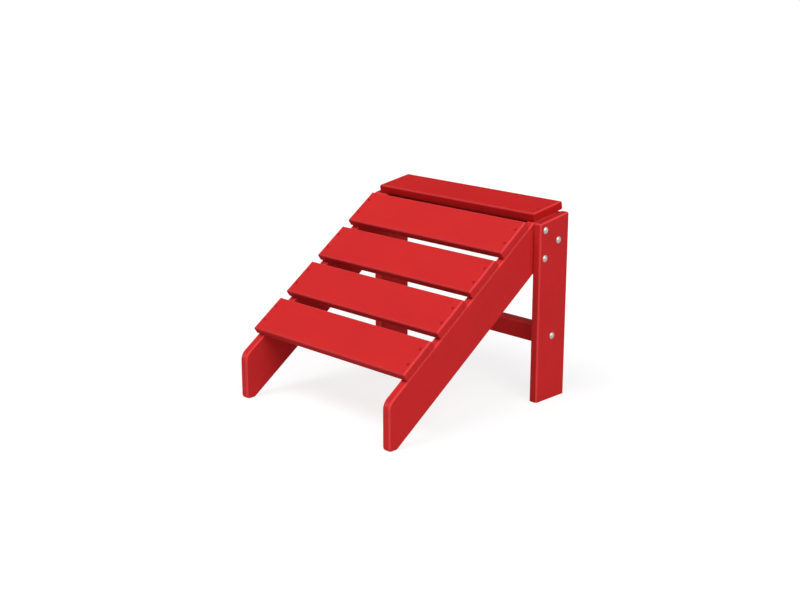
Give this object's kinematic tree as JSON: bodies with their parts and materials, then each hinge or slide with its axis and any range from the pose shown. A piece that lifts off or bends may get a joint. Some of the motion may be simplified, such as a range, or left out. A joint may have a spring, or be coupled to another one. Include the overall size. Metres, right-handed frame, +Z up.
{
  "type": "adirondack footrest",
  "caption": "Low slatted outdoor footrest with sloping side rails as front feet, upright rear legs, a rear apron and stretcher, and a tilted top slat.",
  "frame": {"origin": "on the floor, under the middle of the footprint", "axes": "+X to the sitter's right across the slats, -Y towards the low front end, +Y towards the rear legs, +Z up"},
  "size_m": [0.477, 0.4886, 0.4025],
  "materials": {
    "red_lumber": "fine satin skin of extruded recycled-plastic plank, coloured through",
    "stainless": "plain stainless fasteners",
    "red_screw": "colour-coated screw heads, sunk below the face"
  },
  "bodies": {
    "root": {"slat_1": "red_lumber", "slat_1_screws": "red_screw", "slat_2": "red_lumber", "slat_2_screws": "red_screw", "slat_3": "red_lumber", "slat_3_screws": "red_screw", "slat_4": "red_lumber", "slat_4_screws": "red_screw", "top_slat": "red_lumber", "top_slat_screws": "red_screw", "rear_apron": "red_lumber", "rear_apron_screws": "red_screw", "rear_stretcher": "red_lumber", "left_side_rail": "red_lumber", "left_rear_leg": "red_lumber", "left_upper_rail_bolt": "stainless", "left_rear_rail_bolt": "stainless", "left_lower_rail_bolt": "stainless", "left_stretcher_bolt": "stainless", "left_washers": "stainless", "left_lock_nuts": "stainless", "left_barrel_nut": "stainless", "right_side_rail": "red_lumber", "right_rear_leg": "red_lumber", "right_upper_rail_bolt": "stainless", "right_rear_rail_bolt": "stainless", "right_lower_rail_bolt": "stainless", "right_stretcher_bolt": "stainless", "right_washers": "stainless", "right_lock_nuts": "stainless", "right_barrel_nut": "stainless"}
  },
  "joints": []
}
